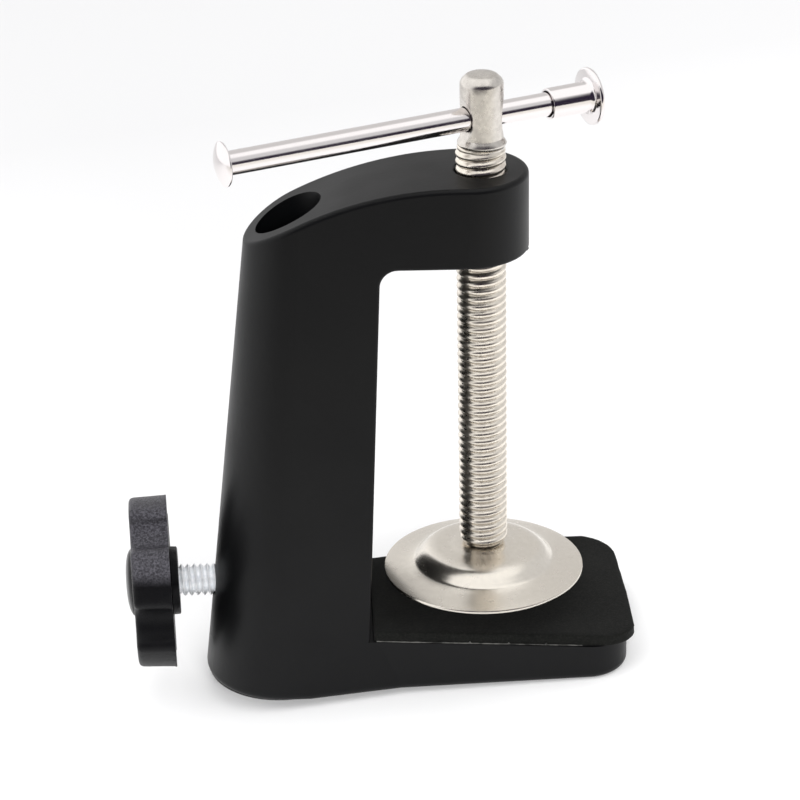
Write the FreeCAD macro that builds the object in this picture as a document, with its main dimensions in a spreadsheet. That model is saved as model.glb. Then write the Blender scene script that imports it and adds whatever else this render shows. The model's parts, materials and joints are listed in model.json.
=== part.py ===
# Desk clamp for a pin-mounted lamp or arm: C-shaped casting, clamping screw with a sliding
# T-bar, swivelling pressure disc, soft pad, and a star knob that locks the pin in its socket.
# Frame: +Z runs up the socket bore and the clamping screw, +X points from the column to the
# tip of the plate, and the origin is on the socket's axis in the plane of the round foot.
import FreeCAD, Part
import math
import os

import Sketcher

os.makedirs("parts", exist_ok=True)
doc = FreeCAD.newDocument("desk_clamp")
Vector = FreeCAD.Vector

# ---------------------------------------------------------------- driving dimensions (mm)
SIZES = {
    # casting: column, arm, plate and foot
    "column_left": 19.75, "column_left_top": 7.05, "flank_foot": 16.1, "flank_top": 9.4,
    "body_height": 106.0, "arm_half": 11.0, "arm_tip": 45.2, "arm_top": 105.4,
    "crown_radius": 71.0, "crown_axis": 31.5, "jaw_foot": 12.9, "jaw_head": 16.7,
    "plate_top": 13.0, "arm_under": 89.8, "reach": 75.0,
    "plate_root": 15.2, "plate_tip_half": 21.3, "plate_tip": 63.3, "plate_corner": 7.0,
    "under_flat": 0.4, "under_start": 1.0, "under_tip": 6.4, "foot_offset": 4.4,
    "foot_radius": 14.7, "foot_rise": 3.0, "foot_edge": 0.6, "jaw_fillet": 3.5, "rim_fillet": 0.9,
    "base_fillet": 1.6, "jaw_edge": 0.5, "socket_radius": 6.25, "screw_hole": 4.82, "stud_hole": 3.225,
    "hole_chamfer": 0.5, "stud_height": 20.0,
    # pad on the plate
    "pad_start": 13.5, "pad_tip": 64.9, "pad_tip_back": 63.3, "pad_root": 15.2,
    "pad_tip_half": 21.1,
    "pad_corner": 6.5, "pad_back_corner": 9.0, "pad_thick": 2.2,
    # clamping screw
    "screw_axis": 36.2, "screw_top": 124.0, "thread_radius": 4.7625, "thread_end": 110.0,
    "thread_start": 27.0, "head_radius": 4.4, "head_chamfer": 0.9, "spigot_radius": 3.0,
    "spigot_end": 23.6, "rivet_radius": 3.9, "rivet_depth": 1.0, "cross_hole": 2.31,
    "swage_radius": 9.0, "swage_depth": 1.3,
    # pressure disc and the washer that keeps it on the spigot
    "disc_radius": 19.8, "disc_under": 20.4, "disc_sheet": 1.0, "crease_radius": 14.3,
    "crease_rise": 1.3, "knee_radius": 10.5, "knee_rise": 3.9, "dome_radius": 5.0,
    "dome_rise": 5.0, "disc_hole": 3.35,
    "washer_radius": 5.2, "washer_hole": 3.06, "washer_thick": 0.7, "washer_low": 24.0,
    # T-bar
    "bar_height": 115.6, "bar_angle": 22.56, "bar_radius": 2.25, "bar_left": 50.6,
    "bar_right": 22.4, "rivet_head": 4.25, "rivet_rim": 0.6, "rivet_dome": 1.7,
    "sleeve_radius": 2.95, "sleeve_start": 14.0, "sleeve_end": 22.5, "sleeve_bore": 2.27,
    "cap_radius": 5.5, "cap_rim": 0.8, "cap_dome": 1.5,
    # star knob and its stud
    "knob_inner": 25.75, "knob_thick": 7.3, "knob_radius": 17.2, "valley_radius": 3.7,
    "valley_centre": 16.4, "valleys": 5, "lobe_fillet": 2.0, "knob_phase": 43.0,
    "knob_edge": 0.8, "hub_radius": 6.8, "hub_rise": 1.7, "boss_radius": 6.6,
    "boss_rise": 1.8, "stud_radius": 3.175, "stud_tip": 6.7, "stud_sunk": 5.0,
    "stud_chamfer": 0.6, "knob_bore": 3.2, "bore_spare": 0.1,
}

sheet = doc.addObject("Spreadsheet::Sheet", "Sizes")
for row, (alias, value) in enumerate(SIZES.items(), start=1):
    sheet.set("A%d" % row, alias)
    sheet.set("B%d" % row, str(value))
    sheet.setAlias("B%d" % row, alias)
doc.recompute()


# ---------------------------------------------------------------- helpers
def number(text):
    """Value in mm of a sum such as "arm_half + 2.0 - flank_top"."""
    total = 0.0
    sign = 1.0
    for word in text.split():
        if word in ("+", "-"):
            sign = 1.0 if word == "+" else -1.0
        else:
            total += sign * (float(sheet.get(word)) if word in SIZES else float(word))
            sign = 1.0
    return total


def formula(text):
    """The same sum as an expression on the sheet's cells."""
    return " ".join("Sizes." + word if word in SIZES else word for word in text.split())


def new_body(name):
    """An empty PartDesign body with its Label."""
    body = doc.addObject("PartDesign::Body", name)
    body.Label = name
    return body


def new_sketch(body, name, role, height=None):
    """A sketch on one of the body's origin planes, lifted by a sum if height is given."""
    sketch = body.newObject("Sketcher::SketchObject", name)
    plane = [item for item in body.Origin.OriginFeatures if item.Role == role][0]
    sketch.AttachmentSupport = [(plane, "")]
    sketch.MapMode = "FlatFace"
    if height:
        sketch.setExpression("AttachmentOffset.Base.z", formula(height))
    return sketch


def bind(sketch, constraint, text):
    """Adds a constraint whose value follows a sum of cells."""
    index = sketch.addConstraint(constraint)
    sketch.setExpression("Constraints[%d]" % index, formula(text))


def pin_point(sketch, geometry, point, x_text, y_text):
    """Fixes a point of the sketch by its two coordinates."""
    for kind, text in (("DistanceX", x_text), ("DistanceY", y_text)):
        if number(text) == 0.0:
            onto = -2 if kind == "DistanceX" else -1
            sketch.addConstraint(Sketcher.Constraint("PointOnObject", geometry, point, onto))
        else:
            bind(sketch, Sketcher.Constraint(kind, -1, 1, geometry, point, number(text)), text)


def dome_arc(start, end):
    """The shorter arc from start to end whose centre lies on the sketch's X axis."""
    middle = (start + end) / 2
    across = end - start
    centre = Vector(middle.x + middle.y * across.y / across.x, 0, 0)
    radius = (start - centre).Length
    circle = Part.Circle(centre, Vector(0, 0, 1), radius)
    first = math.atan2(start.y, start.x - centre.x)
    last = math.atan2(end.y, end.x - centre.x)
    return Part.ArcOfCircle(circle, min(first, last), max(first, last)), first > last


def draw_polygon(sketch, corners, dome=None):
    """A closed outline through corners given as pairs of sums.

    Its edges are straight, except that the edge after corner number dome is an arc centred on
    the sketch's X axis.
    """
    spots = [Vector(number(x), number(y), 0) for x, y in corners]
    count = len(spots)
    for index in range(count):
        start, end = spots[index], spots[(index + 1) % count]
        if index == dome:
            arc, backwards = dome_arc(start, end)
            sketch.addGeometry(arc, False)
        else:
            sketch.addGeometry(Part.LineSegment(start, end), False)
    tails = [2] * count
    heads = [1] * count
    if dome is not None:
        sketch.addConstraint(Sketcher.Constraint("PointOnObject", dome, 3, -1))
        if backwards:
            tails[dome], heads[dome] = 1, 2
    for index in range(count):
        following = (index + 1) % count
        sketch.addConstraint(
            Sketcher.Constraint("Coincident", index, tails[index], following, heads[following]))
    for index, (x_text, y_text) in enumerate(corners):
        pin_point(sketch, index, heads[index], x_text, y_text)


def draw_circle(sketch, x_text, y_text, radius):
    """A circle given by its centre and its radius."""
    centre = Vector(number(x_text), number(y_text), 0)
    ring = sketch.addGeometry(Part.Circle(centre, Vector(0, 0, 1), number(radius)), False)
    pin_point(sketch, ring, 3, x_text, y_text)
    bind(sketch, Sketcher.Constraint("Radius", ring, number(radius)), radius)


def draw_slot(sketch, left, right, left_radius, right_radius):
    """A round-ended outline along X whose ends may differ; left and right are their centres."""
    low, high = number(left), number(right)
    small, large = number(left_radius), number(right_radius)
    up = Vector(0, 0, 1)
    side = math.acos((small - large) / (high - low))
    slant = Vector(math.cos(side), math.sin(side), 0)
    mirrored = Vector(slant.x, -slant.y, 0)
    first, last = Vector(low, 0, 0), Vector(high, 0, 0)
    outline = [
        Part.ArcOfCircle(Part.Circle(first, up, small), side, 2 * math.pi - side),
        Part.LineSegment(first + mirrored * small, last + mirrored * large),
        Part.ArcOfCircle(Part.Circle(last, up, large), -side, side),
        Part.LineSegment(last + slant * large, first + slant * small),
    ]
    for piece in outline:
        sketch.addGeometry(piece, False)
    for index in range(4):
        sketch.addConstraint(Sketcher.Constraint("Tangent", index, 2, (index + 1) % 4, 1))
    pin_point(sketch, 0, 3, left, "0.0")
    pin_point(sketch, 2, 3, right, "0.0")
    bind(sketch, Sketcher.Constraint("Radius", 0, small), left_radius)
    bind(sketch, Sketcher.Constraint("Radius", 2, large), right_radius)


def pad(body, sketch, name, length, reverse=False):
    """Adds material to one side of a sketch."""
    feature = body.newObject("PartDesign::Pad", name)
    feature.Profile = sketch
    feature.setExpression("Length", formula(length))
    feature.Reversed = reverse
    doc.recompute()
    return feature


def pocket(body, sketch, name, reverse=False, length=None, both_ways=False):
    """Cuts a sketch out of the body and checks that material has gone."""
    before = body.Shape.Volume
    feature = body.newObject("PartDesign::Pocket", name)
    feature.Profile = sketch
    feature.Reversed = reverse
    if length:
        feature.setExpression("Length", formula(length))
    else:
        feature.Type = "ThroughAll"
        feature.Midplane = both_ways
    doc.recompute()
    if body.Shape.Volume >= before:
        raise RuntimeError("%s cuts nothing" % name)
    return feature


def revolve(body, sketch, name, axis):
    """Turns a sketch a full turn about one of its own axes."""
    feature = body.newObject("PartDesign::Revolution", name)
    feature.Profile = sketch
    feature.ReferenceAxis = (sketch, [axis])
    feature.Angle = 360.0
    doc.recompute()
    return feature


def round_edges(body, name, size, wanted):
    """Fillets the edges of the body's tip for which wanted(edge) is true."""
    tip = body.Tip
    names = ["Edge%d" % (index + 1) for index, edge in enumerate(tip.Shape.Edges) if wanted(edge)]
    if not names:
        raise RuntimeError("%s finds no edge" % name)
    feature = body.newObject("PartDesign::Fillet", name)
    feature.Base = (tip, names)
    feature.setExpression("Radius", formula(size))
    doc.recompute()
    return feature


def bevel_edges(body, name, size, wanted):
    """Chamfers the edges of the body's tip for which wanted(edge) is true."""
    tip = body.Tip
    names = ["Edge%d" % (index + 1) for index, edge in enumerate(tip.Shape.Edges) if wanted(edge)]
    if not names:
        raise RuntimeError("%s finds no edge" % name)
    feature = body.newObject("PartDesign::Chamfer", name)
    feature.Base = (tip, names)
    feature.setExpression("Size", formula(size))
    doc.recompute()
    return feature


def is_circle(edge, radius):
    """True for a circular edge of this radius."""
    return isinstance(edge.Curve, Part.Circle) and abs(edge.Curve.Radius - radius) < 0.001


def runs_along(edge, axis):
    """True for a straight edge parallel to the vector axis."""
    if not isinstance(edge.Curve, Part.Line):
        return False
    return abs(abs(edge.Curve.Direction.dot(axis)) - 1.0) < 0.001


# ---------------------------------------------------------------- clamp_body
def make_clamp_body():
    """Column, arm, plate and foot in one casting, with its three bores."""
    body = new_body("clamp_body")
    low = new_sketch(body, "plan_foot", "XY_Plane")
    draw_slot(low, "flank_foot - column_left", "arm_tip - flank_foot", "flank_foot", "flank_foot")
    high = new_sketch(body, "plan_top", "XY_Plane", "body_height")
    draw_slot(high, "flank_top - column_left_top", "arm_tip - arm_half", "flank_top", "arm_half")
    doc.recompute()
    column = body.newObject("PartDesign::AdditiveLoft", "column_and_arm")
    column.Profile = low
    column.Sections = [high]
    column.Ruled = True
    doc.recompute()

    jaw = new_sketch(body, "jaw_outline", "XZ_Plane")
    draw_polygon(jaw, [("jaw_foot", "plate_top"), ("reach", "plate_top"),
                       ("reach", "arm_under"), ("jaw_head", "arm_under")])
    pocket(body, jaw, "jaw", both_ways=True)

    plate = new_sketch(body, "plate_outline", "XY_Plane")
    draw_polygon(plate, [("0.0", "0.0 - plate_root"), ("jaw_foot", "0.0 - plate_root"),
                         ("plate_tip", "0.0 - plate_tip_half"),
                         ("plate_tip", "plate_tip_half"), ("jaw_foot", "plate_root"),
                         ("0.0", "plate_root")])
    pad(body, plate, "plate", "plate_top")

    crown = new_sketch(body, "crown_outline", "XZ_Plane")
    draw_crown(crown)
    pocket(body, crown, "crown", both_ways=True)

    under = new_sketch(body, "underside_outline", "XZ_Plane")
    draw_polygon(under, [("0.0 - reach", "0.0 - foot_rise"), ("reach", "0.0 - foot_rise"),
                         ("reach", "under_tip + 1.0"), ("under_start", "under_flat"),
                         ("0.0 - reach", "under_flat")])
    pocket(body, under, "underside", both_ways=True)

    tip = number("plate_tip")
    round_edges(body, "plate_corners", "plate_corner",
                lambda e: runs_along(e, Vector(0, 0, 1)) and abs(e.Vertexes[0].X - tip) < 0.01)
    head = number("jaw_head")
    round_edges(body, "jaw_corner", "jaw_fillet",
                lambda e: runs_along(e, Vector(0, 1, 0)) and abs(e.Vertexes[0].X - head) < 0.01)
    round_edges(body, "top_rim", "rim_fillet",
                lambda e: lies_on_crown(e) and not runs_along(e, Vector(0, 1, 0)))
    round_edges(body, "jaw_edges", "jaw_edge", borders_jaw)
    slope_end = number("under_tip")
    round_edges(body, "plate_underside", "base_fillet",
                lambda e: e.BoundBox.ZMax < slope_end + 0.2 and not runs_along(e, Vector(0, 1, 0))
                or (runs_along(e, Vector(0, 1, 0)) and abs(e.Vertexes[0].X - tip) < 0.01
                    and e.Vertexes[0].Z < slope_end + 0.2))

    foot = new_sketch(body, "foot_outline", "XY_Plane")
    draw_circle(foot, "0.0 - foot_offset", "0.0", "foot_radius")
    pad(body, foot, "foot", "foot_rise")
    sole = number("foot_radius")
    round_edges(body, "foot_rim", "foot_edge", lambda e: is_circle(e, sole) and e.Vertexes[0].Z < 0.01)

    socket = new_sketch(body, "socket_outline", "XY_Plane")
    draw_circle(socket, "0.0", "0.0", "socket_radius")
    pocket(body, socket, "socket", both_ways=True)
    screw_way = new_sketch(body, "screw_way_outline", "XY_Plane", "arm_under - 1.0")
    draw_circle(screw_way, "screw_axis", "0.0", "screw_hole")
    pocket(body, screw_way, "screw_way", reverse=True)
    stud_way = new_sketch(body, "stud_way_outline", "YZ_Plane")
    draw_circle(stud_way, "0.0", "stud_height", "stud_hole")
    pocket(body, stud_way, "stud_way")
    hole = number("screw_hole")
    bevel_edges(body, "screw_way_mouths", "hole_chamfer", lambda e: is_circle(e, hole))
    return body


def borders_jaw(edge):
    """True for the edges where the column's inner face and the arm's underside meet the flanks."""
    if runs_along(edge, Vector(0, 1, 0)):
        return False
    low, high, fillet = number("plate_top"), number("arm_under"), number("jaw_fillet")
    foot, head = number("jaw_foot"), number("jaw_head")
    middle = edge.valueAt((edge.FirstParameter + edge.LastParameter) / 2)
    for spot in [vertex.Point for vertex in edge.Vertexes] + [middle]:
        inward = spot.x - foot - (head - foot) * (spot.z - low) / (high - low)
        below = high - spot.z
        in_corner = inward < fillet and below < fillet
        if abs(inward) > 0.01 and abs(below) > 0.01 and not in_corner:
            return False
        if inward < -0.01 or below < -0.01:
            return False
    return True


def lies_on_crown(edge):
    """True where every vertex of the edge lies on the crown's arc or on its level end."""
    radius = number("crown_radius")
    centre = Vector(number("crown_axis"), 0, number("arm_top - crown_radius"))
    for spot in [vertex.Point for vertex in edge.Vertexes] + [edge.CenterOfMass]:
        flat = Vector(min(spot.x, centre.x) - centre.x, 0, spot.z - centre.z)
        if abs(flat.Length - radius) > 0.35:
            return False
    return True


def draw_crown(sketch):
    """Region above the arm: its floor is one long arc that ends level at crown_axis."""
    centre_height = "arm_top - crown_radius"
    radius = number("crown_radius")
    centre = Vector(number("crown_axis"), number(centre_height), 0)
    left = -number("column_left")
    start_angle = math.acos((left - centre.x) / radius)
    arc = Part.ArcOfCircle(Part.Circle(centre, Vector(0, 0, 1), radius), math.pi / 2, start_angle)
    level, ceiling = centre.y + radius, number("arm_top + foot_radius")
    spots = [Vector(left, centre.y + radius * math.sin(start_angle), 0), Vector(left, ceiling, 0),
             Vector(number("reach"), ceiling, 0), Vector(number("reach"), level, 0),
             Vector(centre.x, level, 0)]
    sketch.addGeometry(arc, False)
    for first, second in zip(spots, spots[1:]):
        sketch.addGeometry(Part.LineSegment(first, second), False)
    for index in range(5):
        sketch.addConstraint(Sketcher.Constraint("Coincident", index, 2, (index + 1) % 5, 1))
    pin_point(sketch, 0, 3, "crown_axis", centre_height)
    bind(sketch, Sketcher.Constraint("Radius", 0, radius), "crown_radius")
    for index in (1, 3):
        sketch.addConstraint(Sketcher.Constraint("Vertical", index))
    for index in (2, 4):
        sketch.addConstraint(Sketcher.Constraint("Horizontal", index))
    bind(sketch, Sketcher.Constraint("DistanceX", 1, 1, -1, 1, -left), "column_left")
    pin_point(sketch, 2, 2, "reach", "arm_top + foot_radius")
    sketch.addConstraint(Sketcher.Constraint("DistanceX", 0, 3, 0, 1, 0.0))


# ---------------------------------------------------------------- desk_pad
def make_desk_pad():
    """Foam pad glued on the plate, with its two outer corners rounded."""
    body = new_body("desk_pad")
    outline = new_sketch(body, "pad_outline", "XY_Plane", "plate_top")
    draw_polygon(outline, [("pad_start", "0.0 - pad_root"), ("pad_tip", "0.0 - pad_tip_half"),
                           ("pad_tip_back", "pad_tip_half"), ("pad_start", "pad_root")])
    doc.recompute()
    pad(body, outline, "foam", "pad_thick")
    for name, size, tip in (("front_corner", "pad_corner", number("pad_tip")),
                            ("back_corner", "pad_back_corner", number("pad_tip_back"))):
        round_edges(body, name, size, lambda e: runs_along(e, Vector(0, 0, 1))
                    and abs(e.Vertexes[0].X - tip) < 0.01)
    return body


# ---------------------------------------------------------------- clamp_screw
def make_clamp_screw():
    """Turned screw: peened spigot below, plain head above with a cross hole between two swages."""
    body = new_body("clamp_screw")
    outline = new_sketch(body, "screw_outline", "XZ_Plane")
    draw_polygon(outline, [("0.0", "spigot_end - rivet_depth"),
                           ("spigot_radius", "spigot_end - rivet_depth"),
                           ("rivet_radius", "spigot_end"), ("spigot_radius", "spigot_end"),
                           ("spigot_radius", "thread_start"), ("thread_radius", "thread_start"),
                           ("thread_radius", "thread_end"), ("head_radius", "thread_end"),
                           ("head_radius", "screw_top - head_chamfer"),
                           ("head_radius - head_chamfer", "screw_top"), ("0.0", "screw_top")])
    revolve(body, outline, "screw_turned", "V_Axis")
    for side, shift in (("left", "0.0 - head_radius - swage_radius + swage_depth"),
                        ("right", "head_radius + swage_radius - swage_depth")):
        swage = new_sketch(body, "swage_%s_outline" % side, "XZ_Plane")
        draw_circle(swage, shift, "bar_height", "swage_radius")
        pocket(body, swage, "swage_%s" % side, both_ways=True)
    cross = new_sketch(body, "cross_hole_outline", "YZ_Plane")
    draw_circle(cross, "0.0", "bar_height", "cross_hole")
    pocket(body, cross, "cross_hole", both_ways=True)
    return body


# ---------------------------------------------------------------- pressure_disc
def make_pressure_disc():
    """Pressed sheet disc: shallow outer cone, crease, dome, and a loose hole for the spigot."""
    body = new_body("pressure_disc")
    outline = new_sketch(body, "disc_outline", "XZ_Plane")
    stations = [("disc_radius", "disc_under"), ("crease_radius", "disc_under + crease_rise"),
                ("knee_radius", "disc_under + knee_rise"), ("dome_radius", "disc_under + dome_rise"),
                ("disc_hole", "disc_under + dome_rise")]
    upper = [(radius, height + " + disc_sheet") for radius, height in reversed(stations)]
    draw_polygon(outline, stations + upper)
    revolve(body, outline, "disc_pressed", "V_Axis")
    return body


# ---------------------------------------------------------------- swivel_washer
def make_swivel_washer():
    """Flat washer between the peened end of the spigot and the disc."""
    outer = doc.addObject("Part::Cylinder", "washer_blank")
    outer.setExpression("Radius", formula("washer_radius"))
    inner = doc.addObject("Part::Cylinder", "washer_punch")
    inner.setExpression("Radius", formula("washer_hole"))
    for cylinder in (outer, inner):
        cylinder.setExpression("Height", formula("washer_thick"))
    washer = doc.addObject("Part::Cut", "swivel_washer")
    washer.Base = outer
    washer.Tool = inner
    washer.Label = "swivel_washer"
    return washer


# ---------------------------------------------------------------- T-bar
def make_tommy_bar():
    """Sliding bar with its own domed head at the left end, turned about X."""
    body = new_body("tommy_bar")
    outline = new_sketch(body, "bar_outline", "XZ_Plane")
    draw_polygon(outline, [("0.0 - bar_left - rivet_rim - rivet_dome", "0.0"),
                           ("0.0 - bar_left - rivet_rim", "rivet_head"),
                           ("0.0 - bar_left", "rivet_head"), ("0.0 - bar_left", "bar_radius"),
                           ("bar_right", "bar_radius"), ("bar_right", "0.0")], dome=0)
    revolve(body, outline, "bar_turned", "H_Axis")
    return body


def make_tommy_bar_cap():
    """Sleeve with a domed flange, pressed on the bar's right end to keep it in the screw."""
    body = new_body("tommy_bar_cap")
    outline = new_sketch(body, "cap_outline", "XZ_Plane")
    draw_polygon(outline, [("sleeve_end + cap_rim + cap_dome", "0.0"), ("bar_right", "0.0"),
                           ("bar_right", "sleeve_bore"), ("sleeve_start", "sleeve_bore"),
                           ("sleeve_start", "sleeve_radius"), ("sleeve_end", "sleeve_radius"),
                           ("sleeve_end", "cap_radius"), ("sleeve_end + cap_rim", "cap_radius")],
                 dome=7)
    revolve(body, outline, "cap_turned", "H_Axis")
    return body


# ---------------------------------------------------------------- knob and stud
def make_knob():
    """Moulded star knob turned about X: its hub faces the column and its boss faces away."""
    body = new_body("knob")
    rim = new_sketch(body, "knob_rim_outline", "YZ_Plane")
    draw_circle(rim, "0.0", "0.0", "knob_radius")
    pad(body, rim, "knob_blank", "knob_thick", reverse=True)
    valley = new_sketch(body, "valley_outline", "YZ_Plane")
    draw_circle(valley, "valley_centre", "0.0", "valley_radius")
    first = pocket(body, valley, "valley")
    pattern = body.newObject("PartDesign::PolarPattern", "valleys_all_round")
    pattern.Originals = [first]
    pattern.Axis = (rim, ["N_Axis"])
    pattern.Angle = 360.0
    pattern.Occurrences = int(number("valleys"))
    body.Tip = pattern
    doc.recompute()
    round_edges(body, "lobe_corners", "lobe_fillet", lambda e: runs_along(e, Vector(1, 0, 0)))
    outer = -number("knob_thick")
    round_edges(body, "outer_edge", "knob_edge", lambda e: e.BoundBox.XMax < outer + 0.01)
    hub = new_sketch(body, "hub_outline", "YZ_Plane")
    draw_circle(hub, "0.0", "0.0", "hub_radius")
    pad(body, hub, "hub", "hub_rise")
    boss = new_sketch(body, "boss_outline", "XZ_Plane")
    draw_polygon(boss, [("0.0 - knob_thick - boss_rise", "0.0"),
                        ("0.0 - knob_thick", "boss_radius"),
                        ("knob_edge - knob_thick", "boss_radius"),
                        ("knob_edge - knob_thick", "0.0")], dome=0)
    revolve(body, boss, "boss", "H_Axis")
    bore = new_sketch(body, "knob_bore_outline", "YZ_Plane", "hub_rise")
    draw_circle(bore, "0.0", "0.0", "knob_bore")
    pocket(body, bore, "knob_socket", length="hub_rise + stud_sunk + bore_spare")
    return body


def make_knob_stud():
    """Stud that the knob is moulded on, with a chamfered tip that presses on the pin."""
    body = new_body("knob_stud")
    outline = new_sketch(body, "stud_outline", "XZ_Plane")
    draw_polygon(outline, [("0.0 - knob_inner - stud_sunk", "0.0"),
                           ("0.0 - knob_inner - stud_sunk", "stud_radius"),
                           ("0.0 - stud_tip - stud_chamfer", "stud_radius"),
                           ("0.0 - stud_tip", "stud_radius - stud_chamfer"),
                           ("0.0 - stud_tip", "0.0")])
    revolve(body, outline, "stud_turned", "H_Axis")
    return body


# ---------------------------------------------------------------- assembly
def place(part, x="0.0", z="0.0", axis=None, angle="0.0"):
    """Moves a sub-part to its place in the clamp and turns it about one of its own axes."""
    turn = FreeCAD.Rotation(axis or Vector(0, 0, 1), number(angle))
    part.Placement = FreeCAD.Placement(Vector(number(x), 0, number(z)), turn)
    part.setExpression("Placement.Base.x", formula(x))
    part.setExpression("Placement.Base.z", formula(z))
    return part


upright, lengthwise = Vector(0, 0, 1), Vector(1, 0, 0)
sub_parts = [
    place(make_clamp_body()),
    place(make_desk_pad()),
    place(make_clamp_screw(), x="screw_axis", axis=upright, angle="bar_angle"),
    place(make_pressure_disc(), x="screw_axis"),
    place(make_swivel_washer(), x="screw_axis", z="washer_low"),
    place(make_tommy_bar(), x="screw_axis", z="bar_height", axis=upright, angle="bar_angle"),
    place(make_tommy_bar_cap(), x="screw_axis", z="bar_height", axis=upright, angle="bar_angle"),
    place(make_knob(), x="0.0 - knob_inner", z="stud_height", axis=lengthwise,
          angle="knob_phase"),
    place(make_knob_stud(), z="stud_height"),
]
doc.recompute()

for item in doc.Objects:
    if "Invalid" in item.State or "Error" in item.State:
        raise RuntimeError("%s is %s" % (item.Name, item.State))
for part in sub_parts:
    if part.Shape.isNull() or not part.Shape.isValid():
        raise RuntimeError("%s has no valid shape" % part.Label)
    part.Shape.exportStep("parts/%s.step" % part.Label)
    box = part.Shape.optimalBoundingBox(False)
    print("%-16s %9.1f mm3  x %6.1f %6.1f  y %6.1f %6.1f  z %6.1f %6.1f" % (
        part.Label, part.Shape.Volume, box.XMin, box.XMax, box.YMin, box.YMax, box.ZMin, box.ZMax))
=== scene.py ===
"""Looks of the desk clamp: black powder-coated casting, nickel screw, disc and T-bar,
foam pad, and a moulded star knob on a zinc-plated stud.

Lengths are worked out in millimetres, from the frame's own boxes where a piece must fit one,
and turned into metres where a mesh is made.
"""
import json
import math

import bmesh
import bpy
from mathutils import Matrix, Vector, noise


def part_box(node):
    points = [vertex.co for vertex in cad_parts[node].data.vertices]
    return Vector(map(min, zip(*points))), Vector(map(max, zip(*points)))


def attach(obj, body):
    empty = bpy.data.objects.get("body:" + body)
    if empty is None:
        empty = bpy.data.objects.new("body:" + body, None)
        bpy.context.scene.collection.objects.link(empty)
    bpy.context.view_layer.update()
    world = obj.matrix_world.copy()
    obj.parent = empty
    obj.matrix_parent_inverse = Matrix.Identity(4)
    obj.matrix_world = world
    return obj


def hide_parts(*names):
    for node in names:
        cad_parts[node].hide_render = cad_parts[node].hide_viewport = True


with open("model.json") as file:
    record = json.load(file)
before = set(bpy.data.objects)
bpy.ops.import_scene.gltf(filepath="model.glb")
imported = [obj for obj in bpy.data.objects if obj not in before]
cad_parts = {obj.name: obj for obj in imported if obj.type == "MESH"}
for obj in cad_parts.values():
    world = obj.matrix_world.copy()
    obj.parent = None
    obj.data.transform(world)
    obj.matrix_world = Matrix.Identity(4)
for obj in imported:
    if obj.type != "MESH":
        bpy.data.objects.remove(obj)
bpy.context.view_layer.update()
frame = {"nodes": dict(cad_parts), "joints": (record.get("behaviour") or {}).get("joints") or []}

MM = 0.001
TURN = 2.0 * math.pi
UP = Vector((0, 0, 1))


# ---------------------------------------------------------------- sizes read from the frame
def box_mm(node):
    """Lowest and highest corner of a CAD node, in millimetres."""
    low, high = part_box(node)
    return [value / MM for value in low], [value / MM for value in high]


def joint(name):
    """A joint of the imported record, by its name."""
    return [item for item in frame["joints"] if item["name"] == name][0]


screw_low, screw_high = box_mm("clamp_screw")
disc_low, disc_high = box_mm("pressure_disc")
pad_low, pad_high = box_mm("desk_pad")
stud_low, stud_high = box_mm("knob_stud")
cap_low, cap_high = box_mm("tommy_bar_cap")
body_high = box_mm("clamp_body")[1]

SCREW_X = (screw_low[0] + screw_high[0]) / 2
SCREW_PITCH = 25.4 / 16
STUD_PITCH = 25.4 / 20
STUD_Z = (stud_low[2] + stud_high[2]) / 2
BAR_AXIS = Vector(joint("bar_slide")["axis"])
BAR_Z = (cap_low[2] + cap_high[2]) / 2


# ---------------------------------------------------------------- mesh helpers
def mesh_piece(name, points, faces):
    """A smooth-shaded mesh object from points in millimetres."""
    data = bpy.data.meshes.new(name)
    data.from_pydata([(x * MM, y * MM, z * MM) for x, y, z in points], [], faces)
    data.validate()
    data.update()
    for polygon in data.polygons:
        polygon.use_smooth = True
    item = bpy.data.objects.new(name, data)
    bpy.context.scene.collection.objects.link(item)
    return item


def grid_faces(rows, columns, wrap=True):
    """Quads that join rows of points, each with the given number of columns."""
    faces = []
    last = columns if wrap else columns - 1
    for row in range(rows - 1):
        for column in range(last):
            following = (column + 1) % columns
            a = row * columns
            b = a + columns
            faces.append((a + column, a + following, b + following, b + column))
    return faces


def arc_points(centre, radius, start, end, steps):
    """Points on an arc in the plane of a profile; angles are in degrees."""
    found = []
    for step in range(steps + 1):
        angle = math.radians(start + (end - start) * step / steps)
        found.append((centre[0] + radius * math.cos(angle), centre[1] + radius * math.sin(angle)))
    return found


def smooth_profile(points, steps):
    """Catmull-Rom curve through points (radius, height)."""
    found = []
    padded = [points[0]] + list(points) + [points[-1]]
    for index in range(1, len(padded) - 2):
        p0, p1, p2, p3 = padded[index - 1:index + 3]
        for step in range(steps):
            t = step / steps
            pair = []
            for axis in (0, 1):
                a, b, c, d = p0[axis], p1[axis], p2[axis], p3[axis]
                pair.append(0.5 * (2 * b + (c - a) * t + (2 * a - 5 * b + 4 * c - d) * t * t
                                   + (3 * b - a - 3 * c + d) * t ** 3))
            found.append(tuple(pair))
    found.append(tuple(points[-1]))
    return found


def frame_round(axis):
    """An axis and two directions square to it, all of unit length."""
    axis = axis.normalized()
    side = axis.orthogonal().normalized()
    return axis, side, axis.cross(side)


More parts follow.
